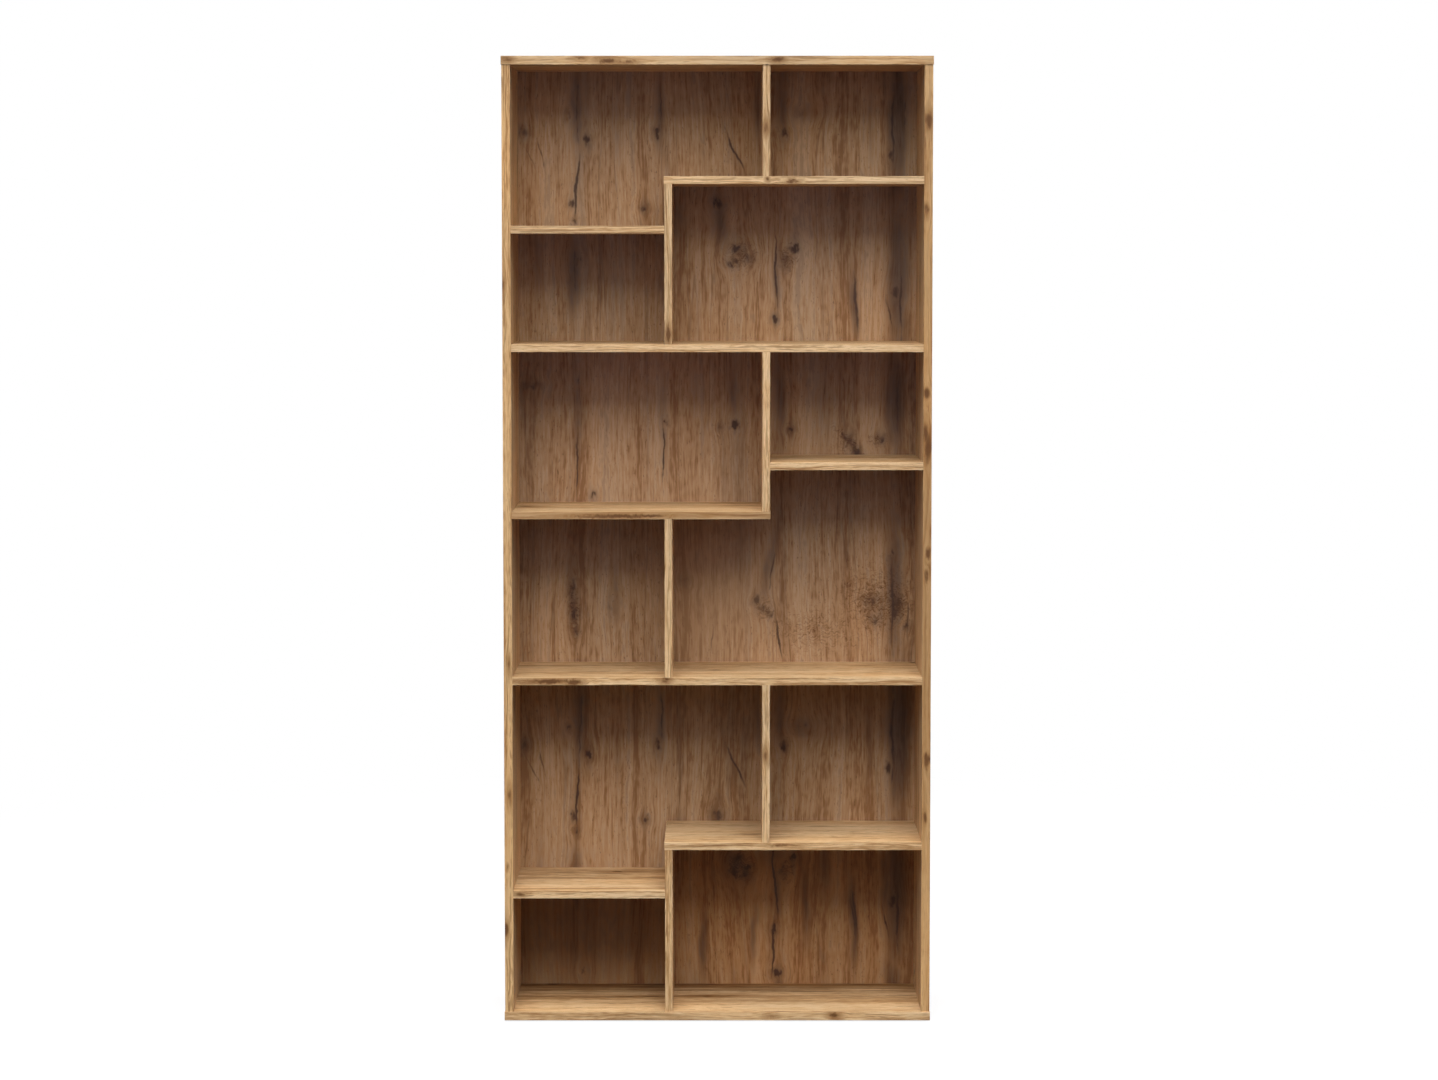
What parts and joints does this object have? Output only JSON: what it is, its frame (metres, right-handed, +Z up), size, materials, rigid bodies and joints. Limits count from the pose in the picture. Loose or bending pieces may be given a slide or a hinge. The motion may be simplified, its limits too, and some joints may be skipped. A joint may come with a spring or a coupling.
{
  "type": "staircase bookshelf",
  "caption": "Tall open bookcase of oak-look boards with fixed shelves and dividers in a stepped, staircase layout, a printed back and hidden board fittings.",
  "frame": {"origin": "on the floor under the middle of the case, which is the middle of the bottom of its box", "axes": "+Z up, +X to the right seen from the front, and the open front faces -Y"},
  "size_m": [0.9, 0.32, 2.031],
  "materials": {
    "oak_board": "chipboard with a matt knotty oak print and raw rear edges",
    "oak_edge_band": "matt oak-print edge band, long edges scraped round",
    "oak_print_back": "thin fibreboard, matt knotty oak print in front, plain brown behind",
    "beech_dowel": "plain turned beech",
    "zinc_cam": "die-cast zinc, dull",
    "steel_fitting": "zinc-plated steel",
    "cover_disc": "stick-on disc in the colour of the print",
    "glide_plastic": "off-white moulded plastic"
  },
  "bodies": {
    "root": {"bottom_board": "oak_board", "bottom_board_front_band": "oak_edge_band", "bottom_board_left_band": "oak_edge_band", "bottom_board_right_band": "oak_edge_band", "bottom_divider": "oak_board", "bottom_divider_front_band": "oak_edge_band", "cam_bolts": "steel_fitting", "cam_housings": "zinc_cam", "floor_glides": "glide_plastic", "left_side": "oak_board", "left_side_front_band": "oak_edge_band", "lower_back_panel": "oak_print_back", "lower_divider": "oak_board", "lower_divider_front_band": "oak_edge_band", "lower_full_shelf": "oak_board", "lower_full_shelf_front_band": "oak_edge_band", "lower_middle_divider": "oak_board", "lower_middle_divider_front_band": "oak_edge_band", "lower_nook_shelf": "oak_board", "lower_nook_shelf_front_band": "oak_edge_band", "lower_step_shelf": "oak_board", "lower_step_shelf_front_band": "oak_edge_band", "lower_step_shelf_left_band": "oak_edge_band", "middle_back_panel": "oak_print_back", "middle_nook_shelf": "oak_board", "middle_nook_shelf_front_band": "oak_edge_band", "middle_step_shelf": "oak_board", "middle_step_shelf_front_band": "oak_edge_band", "middle_step_shelf_right_band": "oak_edge_band", "right_side": "oak_board", "right_side_front_band": "oak_edge_band", "screw_cover_discs": "cover_disc", "shelf_screws": "steel_fitting", "top_board": "oak_board", "top_board_front_band": "oak_edge_band", "top_board_left_band": "oak_edge_band", "top_board_right_band": "oak_edge_band", "top_divider": "oak_board", "top_divider_front_band": "oak_edge_band", "upper_back_panel": "oak_print_back", "upper_divider": "oak_board", "upper_divider_front_band": "oak_edge_band", "upper_full_shelf": "oak_board", "upper_full_shelf_front_band": "oak_edge_band", "upper_middle_divider": "oak_board", "upper_middle_divider_front_band": "oak_edge_band", "upper_nook_shelf": "oak_board", "upper_nook_shelf_front_band": "oak_edge_band", "upper_step_shelf": "oak_board", "upper_step_shelf_front_band": "oak_edge_band", "upper_step_shelf_left_band": "oak_edge_band", "wooden_dowels": "beech_dowel"}
  },
  "joints": []
}
